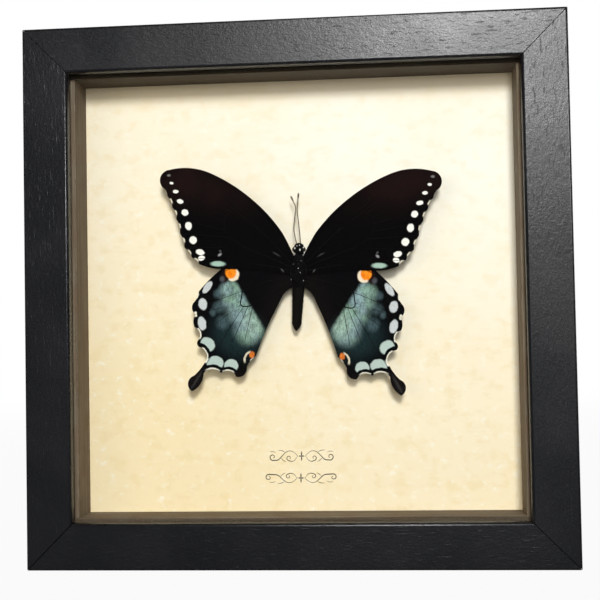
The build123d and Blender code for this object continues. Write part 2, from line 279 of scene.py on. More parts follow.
def parchment(name):
    """Cream card with a soft mottle of pale flecks and straw patches, faint fibres, and a warmer,
    darker band along the top and left edges that is painted shade cast by the rails."""
    finish = Finish(name)
    place = finish.place()
    flat = finish.node("Mapping", {}, {"Vector": place, "Scale": (0.75, 0.0, 1.0)})
    cloud = finish.noise(flat, 0.04, 4.0, 0.55)
    patch = finish.noise(flat, 0.24, 4.0, 0.6)
    pale = finish.noise(flat, 0.33, 4.0, 0.62)
    shifted = finish.node("Mapping", {}, {"Vector": flat, "Location": (37.0, 0.0, 11.0)})
    fleck = finish.noise(shifted, 0.42, 5.0, 0.66)
    grain = finish.noise(flat, 1.6, 4.0, 0.6)
    slant = {"Vector": flat, "Rotation": (0, 0.35, 0), "Scale": (0.12, 1.0, 1.0)}
    fibre_place = finish.node("Mapping", {}, slant)
    fibre = finish.noise(fibre_place, 1.3, 3.0, 0.6)
    across = finish.node("SeparateXYZ", {}, {0: place})
    height = across.output(2)
    # painted falloff of light: the card is painted darker and yellower towards the bottom and left;
    # the same mask also sets where the straw patches gather
    painted_falloff = (height.ramp(135, 15) * 0.75 + across.ramp(30, -68) * 0.45) & 1.0
    depth = painted_falloff.ramp(0.0, 1.0, 0.45, 1.0)
    # painted shade: a warmer, darker band along the card's top and left edges, where the rails
    # shadow it
    painted_edge_shade = height.ramp(140, 151) | across.ramp(-64, -68.5, 0.0, 0.5)
    tone = finish.colour(painted_falloff, paint(253, 249, 238), paint(246, 228, 188))
    tone = finish.layers(
        tone,
        (cloud.ramp(0.38, 0.66) * 0.25, paint(247, 230, 194)),
        (patch.ramp(0.48, 0.66) * 0.4 * depth, paint(236, 213, 160)),
        (fleck.ramp(0.54, 0.7) * 0.6, paint(253, 249, 236)),
        (pale.ramp(0.6, 0.72) * 0.28 * depth, paint(230, 205, 152)),
        (fibre.ramp(0.58, 0.75) * 0.14, paint(214, 192, 146)),
        (grain.ramp(0.55, 0.8) * 0.16, paint(222, 200, 154)),
        # painted shade along the top and left edges
        (painted_edge_shade * 0.75, paint(238, 216, 176)),
    )
    normal = finish.bump(grain * 0.5 + fleck * 0.6, 0.03)
    return finish.surface(tone, grain.ramp(0.2, 0.8, 0.75, 0.9), normal, specular_ior_level=0.2)


def hardboard(name):
    finish = Finish(name)
    place = finish.place()
    fibre = finish.noise(place, 0.9, 6.0, 0.7, 2.0)
    cloud = finish.noise(place, 0.04, 3.0, 0.5)
    fleck = finish.noise(place, 3.2, 2.0, 0.5)
    tone = finish.layers(
        finish.colour(fibre.ramp(0.35, 0.7), paint(92, 62, 40), paint(128, 90, 60)),
        (cloud.ramp(0.35, 0.7) * 0.4, paint(110, 70, 44)),
        (fleck.ramp(0.62, 0.75) * 0.5, paint(160, 124, 88)),
    )
    normal = finish.bump(fibre * 0.5 + fleck * 0.5, 0.06)
    return finish.surface(tone, fibre.ramp(0.3, 0.7, 0.45, 0.62), normal)


def pinning_foam(name):
    finish = Finish(name)
    place = finish.place()
    cells = finish.node("TexVoronoi", {}, {"Vector": place, "Scale": 1.6})
    tone = finish.colour(cells.ramp(0.1, 0.6), paint(236, 235, 228), paint(222, 220, 212))
    return finish.surface(tone, cells.ramp(0.1, 0.7, 0.75, 0.88), finish.bump(cells, 0.08))


def plated_steel(name, low, high, gloss=0.3):
    """Plated steel with fine rolling lines, faint stains and pits."""
    finish = Finish(name)
    place = finish.place()
    lines = finish.noise(finish.place((0.06, 1.0, 1.0)), 3.0, 3.0, 0.6)
    stain = finish.noise(place, 0.35, 4.0, 0.6)
    pit = finish.specks(place, 0.9, 0.09, 0.25)
    tone = finish.colour(stain.ramp(0.35, 0.7), low, high)
    tone = finish.colour(pit * 0.6, tone, paint(96, 90, 82))
    shine = lines.ramp(0.3, 0.7, gloss, gloss + 0.12) + stain.ramp(0.4, 0.75, 0.0, 0.12) + pit * 0.2
    normal = finish.bump(lines * 0.6 + stain * 0.3 - pit * 0.3, 0.03)
    return finish.surface(tone, shine, normal, metallic=1.0)


def bumper_rubber(name):
    finish = Finish(name)
    place = finish.place()
    grime = finish.noise(place, 0.6, 4.0, 0.6)
    tone = finish.colour(grime.ramp(0.45, 0.75), paint(30, 30, 30), paint(62, 60, 56))
    return finish.surface(tone, grime.ramp(0.3, 0.7, 0.62, 0.8), finish.bump(grime, 0.03))


def printing_ink(name):
    finish = Finish(name)
    wear = finish.noise(finish.place(), 2.2, 3.0, 0.6)
    tone = finish.colour(wear.ramp(0.4, 0.75), paint(52, 47, 41), paint(88, 80, 68))
    return finish.surface(tone, wear.ramp(0.3, 0.7, 0.65, 0.8))


# ---------- insect finishes


def vector_maths(finish, operation, first, second, output=0):
    settings = {"operation": operation}
    return finish.node("VectorMath", settings, {0: first, 1: second}, output)


def specimen_place(finish, wobble):
    """Place on the specimen in millimetres, and the same with its two sides folded into one,
    as outwards from the body axis and headwards, and with a slight wobble."""
    settings = {"vector_type": "TEXTURE"}
    inputs = {
        "Vector": finish.node("TexCoord", {}, {}, "Object"),
        "Location": SPECIMEN_SPOT * MM,
        "Rotation": (0.0, SPECIMEN_LEAN, 0.0),
        "Scale": (MM, MM, MM),
    }
    level = finish.node("Mapping", settings, inputs)
    across = finish.node("SeparateXYZ", {}, {0: level})
    flat = finish.node("CombineXYZ", {}, {0: abs(across), 1: across.output(2)})
    wave = {"Vector": level, "Scale": 1.4, "Detail": 3.0}
    jitter = finish.node("TexNoise", {}, wave, 1)
    jitter = vector_maths(finish, "SUBTRACT", jitter, (0.5, 0.5, 0.5))
    jitter = vector_maths(finish, "MULTIPLY", jitter, (wobble, wobble, 0.0))
    return level, vector_maths(finish, "ADD", flat, jitter)


def spot(place, centre, radii, turn=0.0, soft=0.12):
    """Mask of a filled oval; turn in degrees, anticlockwise on the right-hand wing."""
    inputs = {
        "Vector": place,
        "Location": (*centre, 0.0),
        "Rotation": (0.0, 0.0, radians(turn)),
        "Scale": (*radii, 1.0),
    }
    local = place.finish.node("Mapping", {"vector_type": "TEXTURE"}, inputs)
    reach = place.finish.node("VectorMath", {"operation": "LENGTH"}, {0: local}, 1)
    return reach.ramp(1 + soft, 1 - soft)


def spots(place, rows, soft=0.12):
    """One mask of many ovals."""
    whole = spot(place, *rows[0], soft=soft)
    for row in rows[1:]:
        whole = whole | spot(place, *row, soft=soft)
    return whole


def side_of(place, start, end, soft):
    """0 on the left of the line from start to end, 1 on its right."""
    run = Vector(end) - Vector(start)
    aside = Vector((run.y, -run.x)).normalized()
    shift = aside.dot(Vector(start))
    reach = vector_maths(place.finish, "DOT_PRODUCT", place, (aside.x, aside.y, 0.0), 1)
    return reach.ramp(shift - soft, shift + soft)


def reach_from(place, centre):
    """Distance from a point of the wing, in millimetres."""
    return vector_maths(place.finish, "DISTANCE", place, (*centre, 0.0), 1)


def circle_through(first, second, third):
    """Centre and radius of the circle through three points."""
    origin = Vector(first)
    along, aside = Vector(second) - origin, Vector(third) - origin
    spread = 2 * (along.x * aside.y - along.y * aside.x)
    across = (aside.y * along.length_squared - along.y * aside.length_squared) / spread
    up = (along.x * aside.length_squared - aside.x * along.length_squared) / spread
    return origin + Vector((across, up)), Vector((across, up)).length


def hollow(start, end, depth):
    """The circle that cuts a scallop between two points; the wing lies on the run's right."""
    run = Vector(end) - Vector(start)
    outward = Vector((-run.y, run.x)).normalized()
    return circle_through(start, (Vector(start) + Vector(end)) / 2 - outward * depth, end)


def within(place, circle, depth):
    """The part of the wing less than that deep from a hollow of the edge."""
    centre, radius = circle
    edge = radius + depth
    return reach_from(place, centre).ramp(edge + EDGE_SOFTNESS, edge - EDGE_SOFTNESS)


def round_band(place, circle, depth):
    """A band of that depth that follows a hollow of the edge and laps past it."""
    return within(place, circle, depth) & (1 - within(place, circle, -0.6))


# Points of the forewing's scalloped edge from the tip down, the depth of its scallops, and
# its pale spots: centre, half width and half height, and turn in degrees.
FOREWING_EDGE = (
    (42.8, 28.0), (41.2, 25.2), (39.6, 21.8), (38.2, 18.1),
    (37.0, 13.6), (35.5, 9.2), (33.1, 6.0), (30.8, 4.2),
)
FOREWING_HOLLOW = 0.45
FOREWING_SPOTS = (
    ((39.95, 29.3), (0.62, 0.4), 0),
    ((38.55, 26.7), (0.85, 0.52), 8),
    ((37.05, 23.6), (1.05, 0.68), 14),
    ((35.5, 20.15), (1.05, 0.98), 30),
    ((34.3, 16.0), (1.05, 1.3), -6),
    ((32.8, 11.65), (1.15, 1.2), -20),
    ((30.55, 7.9), (1.35, 0.88), 15),
    ((30.1, 6.05), (1.05, 0.75), -14),
)


def wing_scales(finish, level):
    """Fine scale rows, used for colour and relief."""
    rows = finish.noise(level, 7.0, 2.0, 0.6)
    dusting = finish.noise(level, 3.2, 4.0, 0.75)
    return rows, dusting


def forewing_finish(name):
    finish = Finish(name)
    level, place = specimen_place(finish, 0.42)
    rows, dusting = wing_scales(finish, level)

    patchy = finish.noise(level, 0.12, 3.0, 0.5).ramp(0.3, 0.7, 0.5, 1.0)
    warmth = spot(place, (33.0, 30.0), (15.0, 6.5), 20, 0.9) * patchy
    margin = side_of(place, (31.5, 0), (44.5, 33), 1.2)
    streak = spot(place, (6.9, 7.6), (1.2, 0.2), 30, 0.6) * 0.08
    streak = streak | spot(place, (4.9, 2.6), (0.6, 0.22), 50, 0.6) * 0.14
    faint = spot(place, (40.85, 31.75), (0.5, 0.35), 0, 0.6) * 0.4
    faint = faint | spot(place, (24.4, 7.2), (0.6, 0.32), -38, 0.6) * 0.6
    faint = faint | spot(place, (24.3, 8.3), (0.35, 0.25), 50, 0.8) * 0.18
    tornus = spot(place, (24.9, 4.35), (2.2, 0.78), 0, 0.3) * dusting.ramp(0.25, 0.5, 0.75, 1.0)
    pale = spots(place, FOREWING_SPOTS, 0.14) * dusting.ramp(0.2, 0.45, 0.85, 1.0)
    tone = finish.layers(
        finish.colour(warmth, paint(8, 7, 8), paint(30, 18, 17)),
        (dusting.ramp(0.55, 0.8) * 0.2, paint(28, 23, 21)),
        (rows.ramp(0.5, 0.8) * 0.3, paint(5, 4, 5)),
        (margin * 0.5, paint(30, 20, 17)),
        (streak, paint(188, 190, 186)),
        (faint, paint(184, 184, 186)),
        (tornus, paint(166, 194, 180)),
        (pale, paint(244, 242, 236)),
    )
    for start, end in zip(FOREWING_EDGE[1:], FOREWING_EDGE[2:]):
        notch = hollow(start, end, FOREWING_HOLLOW)
        middle = (Vector(start) + Vector(end)) / 2
        patch = round_band(place, notch, 0.42) & spot(place, middle, (0.95, 0.95), 0, 0.25)
        tone = finish.colour(patch * 0.92, tone, paint(236, 228, 206))
    normal = finish.bump(rows * 0.5 + dusting * 0.6, 0.04)
    shine = dusting.ramp(0.3, 0.7, 0.62, 0.78)
    return finish.surface(tone, shine, normal, specular_ior_level=0.02)


# Hollows of the hindwing's edge, as circles: two at its lower edge, the bay beside the tail
# and two small notches above it.
LOWER_HOLLOW = hollow((28.8, -29.6), (23.3, -29.5), 1.3)
INNER_HOLLOW = hollow((23.3, -29.5), (18.7, -30.5), 1.3)
TAIL_BAY = circle_through((30.5, -21.4), (28.5, -22.6), (27.8, -24.8))
SIDE_NOTCH = circle_through((31.9, -15.4), (30.1, -17.6), (30.8, -19.5))
UPPER_NOTCH = circle_through((32.8, -9.8), (31.6, -11.4), (32.3, -13.3))
# Ovals of the hindwing's pattern, each as centre, half width and height, and turn: the pale
# marks along its outer edge, the blue field's lobes and the dim clouds beside the field.
HINDWING_LUNULES = (
    ((28.15, -2.95), (2.2, 0.98), -56),
    ((29.5, -8.2), (1.3, 1.8), -12),
    ((29.6, -14.2), (1.25, 2.1), -14),
)
FIELD_LOBES = (
    ((20.9, -3.4), (3.2, 2.5), -12),
    ((19.4, -6.6), (4.1, 3.4), 0),
    ((17.2, -10.6), (4.9, 4.2), 40),
    ((14.9, -14.8), (4.5, 5.2), 18),
)
FIELD_CLOUDS = (
    ((24.8, -4.9), (1.25, 1.3), 0),
    ((24.4, -9.0), (1.7, 1.6), 0),
    ((26.3, -10.7), (0.9, 1.1), 0),
    ((23.2, -13.8), (1.8, 1.9), 0),
)
# Pale crescents above the hollows: centre, half width and height, turn, edge softness,
# and the hollow that cuts each one, with its depth.
MOONS = (
    ((27.65, -20.6), (2.35, 1.95), 42, 0.12, TAIL_BAY, 1.35),
    ((25.25, -26.3), (2.6, 2.05), 0, 0.1, LOWER_HOLLOW, 1.45),
    ((20.25, -27.1), (2.15, 2.0), 0, 0.1, INNER_HOLLOW, 1.3),
)
# Cream fringe in the hollows: the hollow, the fringe's depth, and the oval that ends it.
FRINGES = (
    (LOWER_HOLLOW, 0.4, (26.1, -28.6), (2.3, 1.3), 0, 0.1),
    (INNER_HOLLOW, 0.38, (21.1, -29.0), (1.9, 1.2), 12, 0.1),
    (TAIL_BAY, 0.36, (28.2, -23.9), (1.9, 2.5), -20, 0.1),
    (SIDE_NOTCH, 0.4, (30.7, -17.4), (1.3, 1.7), 0, 0.1),
    (UPPER_NOTCH, 0.35, (31.7, -11.4), (0.6, 0.8), 0, 0.2),
)
CRESCENT_CENTRE = (13.4, -25.2)


def moons(place):
    whole = None
    for centre, radii, turn, soft, circle, depth in MOONS:
        moon = spot(place, centre, radii, turn, soft) & (1 - within(place, circle, depth))
        whole = moon if whole is None else whole | moon
    return whole


def eyespots(finish, level, place, speck, tone):
    """The orange eyespot at the hindwing's top and the small one at its inner corner."""
    mottle = finish.noise(level, 0.9, 2.0, 0.5).ramp(0.35, 0.65)
    reach = reach_from(place, CRESCENT_CENTRE)
    crescent = reach.ramp(2.35, 2.6) & reach.ramp(3.2, 2.95)
    crescent = crescent & spot(place, (15.7, -23.9), (1.25, 2.1), 20, 0.25)
    ember = finish.colour(speck.ramp(0.35, 0.6), paint(170, 84, 34), paint(224, 126, 52))
    return finish.layers(
        tone,
        (spot(place, (20.35, 1.15), (2.0, 2.1), 0, 0.12), paint(240, 222, 196)),
        (spot(place, (22.5, 0.9), (1.2, 2.4), 10, 0.3), paint(34, 20, 17)),
        (
            spot(place, (20.95, 1.8), (1.7, 1.95), 0, 0.14),
            finish.colour(mottle, paint(238, 122, 18), paint(250, 150, 40)),
        ),
        (spot(place, (23.6, -0.3), (0.7, 0.8), 0, 0.7) * 0.5, paint(104, 108, 116)),
        (crescent * 0.9, paint(224, 214, 190)),
        (spot(place, (13.95, -23.6), (0.8, 1.05), 10, 0.2), ember),
        (spot(place, (13.7, -25.0), (0.9, 0.35), -40, 0.3) * 0.9, paint(238, 232, 214)),
    )


def hindwing_finish(name):
    finish = Finish(name)
    level, place = specimen_place(finish, 0.5)
    rows, dusting = wing_scales(finish, level)

    feather_place = finish.node("Mapping", {}, {"Vector": level, "Scale": (1.0, 1.0, 0.4)})
    feather = finish.noise(feather_place, 1.5, 4.0, 0.7)
    cloud = finish.noise(level, 0.32, 4.0, 0.6)
    speck = finish.noise(level, 2.4, 4.0, 0.8)
    field = spots(place, FIELD_LOBES, 0.4) * (1 - side_of(place, (18.9, -0.8), (13.9, -8.6), 0.7))
    field = field * (1 - side_of(place, (14.7, -8.6), (10.6, -15.2), 0.8))
    fading = side_of(place, (25.6, -1.0), (13.5, -24.0), 7.0)
    density = field * cloud.ramp(0.25, 0.65, 0.6, 1.0) * speck.ramp(0.25, 0.58, 0.5, 1.0)
    density = density * feather.ramp(0.32, 0.6, 0.5, 1.0) * fading.ramp(0.0, 0.8, 0.45, 1.0)
    dim = spots(place, FIELD_CLOUDS, 0.6) * feather.ramp(0.3, 0.6, 0.25, 0.62)
    teal = spot(place, (18.4, -17.4), (7.4, 6.4), 20, 0.6) * speck.ramp(0.3, 0.65, 0.25, 0.75)
    hue = finish.noise(level, 0.14, 2.0, 0.5).ramp(0.4, 0.62)
    blue = finish.colour(hue, paint(150, 186, 168), paint(152, 180, 186))
    frosting = spot(place, (13.6, -13.8), (3.2, 4.6), 15, 0.8) * 0.6
    blue = finish.colour(frosting, blue, paint(182, 208, 194))
    pearl = finish.colour(speck.ramp(0.3, 0.7), paint(188, 194, 196), paint(214, 218, 220))
    silver = finish.colour(speck.ramp(0.3, 0.7), paint(178, 196, 190), paint(192, 208, 202))
    fringe = spot(place, (31.15, -5.7), (0.3, 0.75), 20, 0.3)
    for circle, depth, centre, radii, turn, soft in FRINGES:
        end = spot(place, centre, radii, turn, soft)
        fringe = fringe | (round_band(place, circle, depth) & end)

    warmth = side_of(place, (7.5, -2.0), (15.0, -25.0), 5.0)
    tone = finish.layers(
        finish.colour(warmth * 0.6, paint(9, 9, 11), paint(22, 17, 16)),
        (dusting.ramp(0.55, 0.8) * 0.2, paint(30, 27, 27)),
        (teal * 0.62, paint(46, 72, 76)),
        (dim, paint(84, 106, 112)),
        (density, blue),
        (spots(place, HINDWING_LUNULES, 0.14) * 0.96, pearl),
        (moons(place) * 0.96, silver),
        (fringe * 0.96, paint(242, 238, 222)),
    )
    tone = eyespots(finish, level, place, speck, tone)
    tail = side_of(place, (26.5, -28.5), (33.0, -28.0), 0.7)
    stripe = spot(place, (30.9, -31.6), (0.3, 2.6), 30, 0.8)
    tone = finish.layers(
        tone, (tail * 0.9, paint(22, 18, 18)), (tail * stripe * 0.45, paint(84, 82, 82))
    )
    normal = finish.bump(rows * 0.5 + dusting * 0.6, 0.04)
    shine = dusting.ramp(0.3, 0.7, 0.62, 0.78)
    return finish.surface(tone, shine, normal, specular_ior_level=0.02)


def vein_finish(name):
    finish = Finish(name)
    wear = finish.noise(finish.place(), 1.5, 3.0, 0.6)
    tone = finish.colour(wear.ramp(0.3, 0.7), paint(7, 6, 7), paint(16, 13, 13))
    return finish.surface(tone, wear.ramp(0.3, 0.7, 0.6, 0.75), specular_ior_level=0.1)


def cuticle_finish(name, low, high):
    finish = Finish(name)
    place = finish.place()
    fuzz = finish.noise(place, 2.6, 4.0, 0.7)
    tone = finish.colour(fuzz.ramp(0.35, 0.7), low, high)
    shine = fuzz.ramp(0.3, 0.7, 0.55, 0.75)
    return finish.surface(tone, shine, finish.bump(fuzz, 0.12), specular_ior_level=0.08)


def eye_finish(name):
    finish = Finish(name)
    lens = finish.node("TexVoronoi", {}, {"Vector": finish.place(), "Scale": 14.0})
    tone = finish.colour(lens.ramp(0.1, 0.6), paint(34, 24, 20), paint(16, 12, 12))
    return finish.surface(tone, lens.ramp(0.1, 0.7, 0.22, 0.34), finish.bump(lens, 0.01))


# ---------- making pieces


def mesh_of(name, skin):
    """Closes a skin into a mesh."""
    mesh = bpy.data.meshes.new(name)
    skin.to_mesh(mesh)
    skin.free()
    return mesh


def skin_of(mesh):
    skin = bmesh.new()
    skin.from_mesh(mesh)
    return skin


def in_scene(name, data):
    made = bpy.data.objects.new(name, data)
    bpy.context.scene.collection.objects.link(made)
    return made


def move(skin, matrix, verts=None):
    bmesh.ops.transform(skin, matrix=matrix, verts=verts or skin.verts)
    return skin


def merge(skin, reach):
    """Joins the skin's points that lie within that many metres of each other."""
    bmesh.ops.remove_doubles(skin, verts=skin.verts, dist=reach)


def copy_of(node):
    """The node's solid as one merged skin, with its flat faces whole."""
    skin = skin_of(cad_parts[node].data)
    merge(skin, 1e-6)
    bmesh.ops.dissolve_limit(
        skin, angle_limit=radians(0.5), use_dissolve_boundaries=False, verts=skin.verts,
        edges=skin.edges, delimit=set(),
    )
    return skin


def edges_over(skin, angle):
    """Edges between two faces that turn by more than that many degrees."""
    return [
        edge for edge in skin.edges
        if len(edge.link_faces) == 2 and edge.calc_face_angle(0.0) > radians(angle)
    ]


def smooth_by_angle(mesh):
    """Rounds the narrow faces into each other; wide faces stay as flat as they are."""
    skin = skin_of(mesh)
    for face in skin.faces:
        width = face.calc_area() / max(edge.calc_length() for edge in face.edges)
        face.smooth = width < FLAT_WIDTH * MM
    for edge in edges_over(skin, SMOOTH_UP_TO):
        edge.smooth = False
    skin.to_mesh(mesh)
    skin.free()


def add_piece(name, skin, finishes, body=HOUSING, replaced=()):
    """Turns the bmesh into a named piece on its body."""
    mesh = mesh_of(name, skin)
    for finish in finishes:
        mesh.materials.append(finish)
    smooth_by_angle(mesh)
    piece = in_scene(name, mesh)
    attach(piece, body)
    if replaced:
        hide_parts(*replaced)


def soften_edges(skin, width, segments):
    """Rounds the skin's sharp edges by that many millimetres."""
    bmesh.ops.bevel(
        skin, geom=edges_over(skin, SHARP_FROM), offset=width * MM, segments=segments,
        profile=0.5, affect="EDGES", material=-1, clamp_overlap=True,
    )


def soft_copy(name, node, finish, width, segments=2, body=HOUSING):
    """A piece of the node's own shape with softer edges."""
    skin = copy_of(node)
    soften_edges(skin, width, segments)
    add_piece(name, skin, [finish], body, [node])


def spun(profile, steps=40):
    """A closed skin turned about the Z axis from (radius, height) points in millimetres."""
    skin = bmesh.new()
    ring = [skin.verts.new((radius * MM, 0.0, height * MM)) for radius, height in profile]
    edges = [skin.edges.new(pair) for pair in zip(ring, ring[1:])]
    bmesh.ops.spin(
        skin, geom=ring + edges, cent=(0, 0, 0), axis=(0, 0, 1), dvec=(0, 0, 0),
        angle=2 * pi, steps=steps, use_merge=True,
    )
    merge(skin, 2e-6)
    bmesh.ops.holes_fill(skin, edges=skin.edges, sides=0)
    bmesh.ops.recalc_face_normals(skin, faces=skin.faces)
    return skin


def join_into(skin, other, material=0):
    """Adds the other skin's faces, and empties it."""
    for face in other.faces:
        face.material_index = material
    mesh = mesh_of("joined", other)
    skin.from_mesh(mesh)
    bpy.data.meshes.remove(mesh)


def settled(holder):
    """The object's shape with its curve or modifiers worked out, as a skin."""
    bpy.context.view_layer.update()
    depsgraph = bpy.context.evaluated_depsgraph_get()
    mesh = bpy.data.meshes.new_from_object(holder.evaluated_get(depsgraph))
    skin = skin_of(mesh)
    bpy.data.meshes.remove(mesh)
    return skin


def strokes(runs, sides=2):
    """Thin tapering tubes along smooth runs of (x, y, z, radius) points in millimetres."""
    curve = bpy.data.curves.new("run", "CURVE")
    curve.dimensions = "3D"
    curve.bevel_depth = MM
    curve.bevel_resolution = sides
    curve.use_fill_caps = True
    curve.resolution_u = 5
    for run in runs:
        line = curve.splines.new("NURBS")
        line.points.add(len(run) - 1)
        for point, (x, y, z, radius) in zip(line.points, run):
            point.co = (x * MM, y * MM, z * MM, 1.0)
            point.radius = radius
        line.order_u = 3
        line.use_endpoint_u = True
    holder = in_scene("run", curve)
    skin = settled(holder)
    bpy.data.objects.remove(holder)
    bpy.data.curves.remove(curve)
    merge(skin, 1e-7)
    return skin


# ---------- case pieces


def dress_case():
    paint_across = moulding_paint("moulding_paint_across", "X")
    paint_upright = moulding_paint("moulding_paint_upright", "Z")
    for side, finish in zip(SIDES, (paint_across, paint_across, paint_upright, paint_upright)):
        soft_copy(f"rail_{side}", f"frame_rail_{side}", finish, 0.22)

    taupe_across = taupe_card("taupe_card_across", "X")
    taupe_upright = taupe_card("taupe_card_upright", "Z")
    # the top strip faces down, away from the lamps, so its finish is darkened as painted shade
    taupe_painted_shade = taupe_card("taupe_card_top_painted_shade", "X", 0.5)
    for side, finish in zip(SIDES, (taupe_painted_shade, taupe_across, taupe_upright, taupe_upright)):
        soft_copy(f"strip_{side}", f"spacer_{side}", finish, 0.15)

    give_finish("glass_pane", clear_glass("clear_glass"))
    give_finish("parchment_card", parchment("parchment"))
    give_finish("foam_board", pinning_foam("pinning_foam"))
    soft_copy("hardboard_back", "back_board", hardboard("hardboard"), 0.3)


def give_finish(node, finish):
    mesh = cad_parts[node].data
    mesh.materials.clear()
    mesh.materials.append(finish)


RECESS = (3.4, 0.62, 2.4)  # each blade of the screwdriver's cross: span, width, height
RECESS_LEVEL = 2.0


def cross_recess():
    """A tapered cross that is cut out of a screw's head."""
    cutter = bmesh.new()
    for turn in (0, 90):
        blade = bmesh.new()
        bmesh.ops.create_cube(blade, size=1.0)
        bmesh.ops.scale(blade, vec=Vector(RECESS) * MM, verts=blade.verts)
        low = [vert for vert in blade.verts if vert.co.z < 0]
        bmesh.ops.scale(blade, vec=(0.35, 0.8, 1.0), verts=low)
        bmesh.ops.rotate(blade, verts=blade.verts, matrix=Matrix.Rotation(radians(turn), 3, "Z"))
        join_into(cutter, blade)
    return cutter


def screw_skin():
    """Pan head with a cross recess, head under-face at Z 0 and shank below it."""
    profile = [
        (0.0, 1.9), (0.9, 1.87), (1.7, 1.74), (2.4, 1.47), (2.9, 1.08), (3.15, 0.6), (3.2, 0.22),
        (3.1, 0.04), (2.95, 0.0), (1.45, 0.0), (1.45, -9.4), (1.2, -10.0), (0.5, -11.6),
        (0.0, -12.0),
    ]
    cutter = cross_recess()
    bmesh.ops.translate(cutter, verts=cutter.verts, vec=(0, 0, RECESS_LEVEL * MM))
    body = in_scene("screw", mesh_of("screw", spun(profile, 48)))
    tool = in_scene("cutter", mesh_of("cutter", cutter))
    cut = body.modifiers.new("recess", "BOOLEAN")
    cut.operation = "DIFFERENCE"
    cut.solver = "EXACT"
    cut.use_self = True
    cut.object = tool
    skin = settled(body)
    merge(skin, 1e-6)
    for holder in (body, tool):
        bpy.data.meshes.remove(holder.data)
    return skin


def placed(skin, across, level, height, turn=0.0):
    """Stands a Z-axis skin on the case's back, its axis along +Y."""
    stand = Matrix.Rotation(radians(-90), 4, "X") @ Matrix.Rotation(radians(turn), 4, "Z")
    place = Matrix.Translation(Vector((across, BACK_Y + level, height)) * MM)
    return move(skin, place @ stand)


def dress_hardware():
    zinc = plated_steel("zinc_plate", paint(176, 174, 166), paint(202, 202, 198))
    bright = plated_steel("bright_zinc", paint(186, 184, 178), paint(212, 212, 210), 0.22)
    strip = plated_steel("hanger_plate", paint(184, 172, 140), paint(206, 198, 170), 0.28)
    screws = bmesh.new()
    for side in (-1, 1):
        for row, height in enumerate(BUTTON_HEIGHTS):
            turn = 17 + 31 * (side + 1 + row)
            join_into(screws, placed(screw_skin(), side * BUTTON_ACROSS, BUTTON_TOP, height, turn))
    add_piece("button_screws", screws, [bright], HOUSING, ["turn_button_screws"])

    for row in ("lower", "upper"):
        for side in ("left", "right"):
            place = f"{row}_{side}"
            soft_copy(
                f"button_plate_{place}", f"turn_button_{place}", zinc, 0.3, 3,
                f"button_{place}",
            )

    soft_copy("hanger_strip", "sawtooth_hanger", strip, 0.1)
    soft_copy("hanger_pins", "hanger_nails", bright, 0.14)
    give_finish("v_nails", zinc)
    give_finish("specimen_pin", plated_steel("pin_steel", paint(70, 70, 74), paint(96, 96, 100)))

    rubber = bumper_rubber("bumper_rubber")
    profile = [
        (0.0, 3.3), (0.8, 3.36), (2.2, 3.4), (2.8, 3.33), (3.15, 3.05), (3.3, 2.6),
        (3.95, 0.35), (4.0, 0.12), (3.9, 0.0), (0.0, 0.0),
    ]
    pads = bmesh.new()
    for side in (-1, 1):
        join_into(pads, placed(spun(profile), side * BUMPER_ACROSS, 0.0, BUMPER_HEIGHT))
    add_piece("rubber_bumpers", pads, [rubber], HOUSING, ["wall_bumpers"])


# Each line's middle, half length and height on the card, and how tall its strokes stand;
# below 0 they are upside down.
ORNAMENT_LINES = ((-0.2, 10.4, 32.0, 1.0), (-0.5, 11.5, 25.2, -0.9))


def curl(stem, centre, size, turns, start, thick):
    """A pen stroke: its stem's points, then a spiral that closes on its centre."""
    run = [(x, z, thick * (0.3 + 0.7 * index / len(stem))) for index, (x, z) in enumerate(stem)]
    count = int(8 * turns)
    for index in range(count + 1):
        share = index / count
        angle = start + turns * 2 * pi * share
        reach = size * (1 - 0.75 * share)
        x, z = centre[0] + reach * cos(angle), centre[1] + reach * sin(angle)
        run.append((x, z, thick * (1 - 0.55 * share)))
    return run


def half_ornament(length):
    """Strokes of one half of a line, outwards from its middle."""
    end = (length - 1.4, -0.25)
    large = [(1.1, -0.1), (2.4, 1.5), (4.4, 1.7), (6.0, 0.2), (7.2, -1.2)]
    small = [(1.3, 0.0), (2.0, -1.3), (3.0, -1.7)]
    return [
        curl(large, end, 1.25, 1.1, -2.2, 0.17),
        curl(small, (3.9, -0.55), 0.95, 1.0, -1.7, 0.14),
        [(5.2, 1.2, 0.04), (5.9, 1.9, 0.16), (7.4, 1.8, 0.03)],
        [(6.4, -0.6, 0.04), (5.6, -1.6, 0.15), (4.9, -1.7, 0.03)],
        [(8.0, 1.1, 0.03), (8.9, 1.7, 0.13), (10.0, 1.3, 0.03)],
    ]


def dress_ornament(ink):
    """Two lines of plain penwork scrolls below the specimen."""
    runs = []
    for middle, half, z, tall in ORNAMENT_LINES:
        for hand in (-1, 1):
            for stroke in half_ornament(half):
                runs.append([
                    (middle + hand * across, CARD_Y, z + tall * up, thick)
                    for across, up, thick in stroke
                ])
        for turn in range(4):
            angle = turn * pi / 2
            reach = 1.5 if turn % 2 else 0.9
            tip = (middle + reach * cos(angle), z + reach * sin(angle))
            runs.append([
                (middle, CARD_Y, z, 0.06),
                ((middle + tip[0]) / 2, CARD_Y, (z + tip[1]) / 2, 0.34),
                (tip[0], CARD_Y, tip[1], 0.03),
            ])
    skin = strokes(runs)
    flatten = Matrix.Translation((0, CARD_Y * MM, 0)) @ Matrix.Scale(0.12, 4, (0, 1, 0))
    flatten = flatten @ Matrix.Translation((0, -CARD_Y * MM, 0))
    add_piece("card_penwork", move(skin, flatten), [ink])


# ---------- the insect

